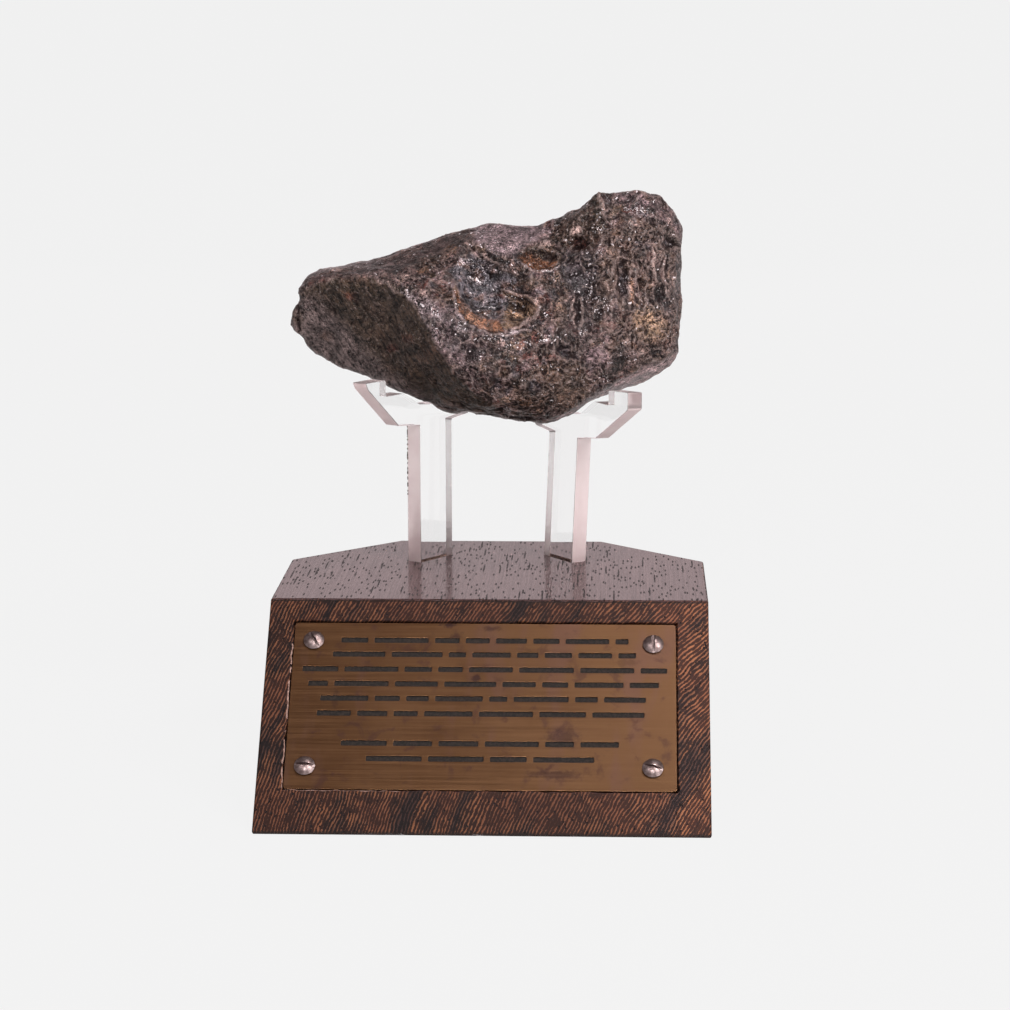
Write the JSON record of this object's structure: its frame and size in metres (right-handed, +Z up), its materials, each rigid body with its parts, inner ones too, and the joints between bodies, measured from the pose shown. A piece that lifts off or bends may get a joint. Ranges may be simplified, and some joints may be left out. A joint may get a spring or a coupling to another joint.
{
  "type": "iron meteorite on a display stand",
  "caption": "Natural iron meteorite with thumbprint pits, held up on clear forked supports over a dark wooden block whose sloped front carries a brass plate.",
  "frame": {"origin": "under the middle of the wooden block, on the surface that it stands on", "axes": "+Z up, +X to the right of a viewer who faces the sloped front, +Y from the sloped front to the back"},
  "size_m": [0.1174, 0.1334, 0.1557],
  "materials": {
    "meteorite_iron": "dark weathered iron crust with rust and bare metal in the pits",
    "clear_acrylic": "clear polished faces with saw-cut, faintly pink edges",
    "dark_wood": "open-pored dark wood with a satin varnish",
    "aged_brass": "aged brown brass with stains",
    "nickel": "nickel plate, slightly dull"
  },
  "bodies": {
    "root": {"meteorite": "meteorite_iron", "left_support": "clear_acrylic", "right_support": "clear_acrylic", "wooden_base": "dark_wood", "plaque": "aged_brass", "screw_top_left": "nickel", "screw_top_right": "nickel", "screw_bottom_left": "nickel", "screw_bottom_right": "nickel"}
  },
  "joints": []
}
